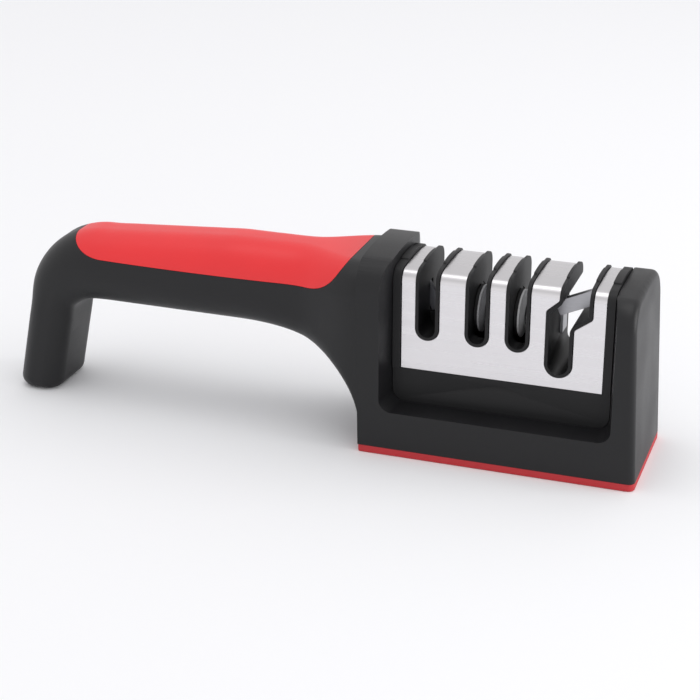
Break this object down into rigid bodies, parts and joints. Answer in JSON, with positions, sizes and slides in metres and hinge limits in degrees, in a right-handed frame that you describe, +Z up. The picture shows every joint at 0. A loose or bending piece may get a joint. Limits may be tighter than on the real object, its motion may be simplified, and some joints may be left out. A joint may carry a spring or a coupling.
{
  "type": "manual knife and scissors sharpener",
  "caption": "Hand-held pull-through knife and scissors sharpener: a footed handle with a red grip, and a head that holds a lift-out steel-covered cartridge of sharpening slots.",
  "frame": {"origin": "centre of the base pad's underside, on the table", "axes": "+X along the length from the handle to the head's free end, +Y away from the user's side, +Z up"},
  "size_m": [0.2117, 0.0422, 0.0628],
  "materials": {
    "black_plastic": "satin moulded, fine grain",
    "red_grip": "soft-touch, smooth",
    "red_pad": "soft, non-slip",
    "cartridge_black": "satin moulded",
    "steel_sheet": "brushed along the length",
    "screw_steel": "zinc plated",
    "carbide": "ground, dark grey",
    "wheel_plastic": "moulded",
    "diamond_grit": "fine bonded grit",
    "fine_ceramic": "smooth, off-white grey",
    "axle_steel": "ground",
    "scissors_steel": "ground"
  },
  "bodies": {
    "body": {"body_shell": "black_plastic", "grip_inlay": "red_grip", "base_plate": "cartridge_black", "base_screws": "screw_steel", "base_pad": "red_pad"},
    "cartridge": {"cartridge_tray": "cartridge_black", "cartridge_core": "cartridge_black", "steel_cover": "steel_sheet", "tray_screws": "screw_steel", "carbide_blade_front": "carbide", "carbide_blade_rear": "carbide", "wheel_axle": "axle_steel", "scissors_bar": "scissors_steel", "scissors_guide": "scissors_steel"},
    "diamond_left": {"diamond_wheel_left": "wheel_plastic", "diamond_ring_left": "diamond_grit"},
    "diamond_right": {"diamond_wheel_right": "wheel_plastic", "diamond_ring_right": "diamond_grit"},
    "ceramic_left": {"ceramic_wheel_left": "wheel_plastic", "ceramic_ring_left": "fine_ceramic"},
    "ceramic_right": {"ceramic_wheel_right": "wheel_plastic", "ceramic_ring_right": "fine_ceramic"}
  },
  "joints": [
    {"name": "cartridge_lift", "type": "slide", "parent": "body", "child": "cartridge", "axis": [0, 0, 1], "range_m": [0, 0.06]},
    {"name": "diamond_left_spin", "type": "hinge", "parent": "cartridge", "child": "diamond_left", "pos_m": [-0.0082, 0, 0.0446], "axis": [1, 0, 0], "continuous": true},
    {"name": "diamond_right_spin", "type": "hinge", "parent": "cartridge", "child": "diamond_right", "pos_m": [-0.0082, 0, 0.0446], "axis": [1, 0, 0], "continuous": true},
    {"name": "ceramic_left_spin", "type": "hinge", "parent": "cartridge", "child": "ceramic_left", "pos_m": [0.0043, 0, 0.0446], "axis": [1, 0, 0], "continuous": true},
    {"name": "ceramic_right_spin", "type": "hinge", "parent": "cartridge", "child": "ceramic_right", "pos_m": [0.0043, 0, 0.0446], "axis": [1, 0, 0], "continuous": true}
  ]
}
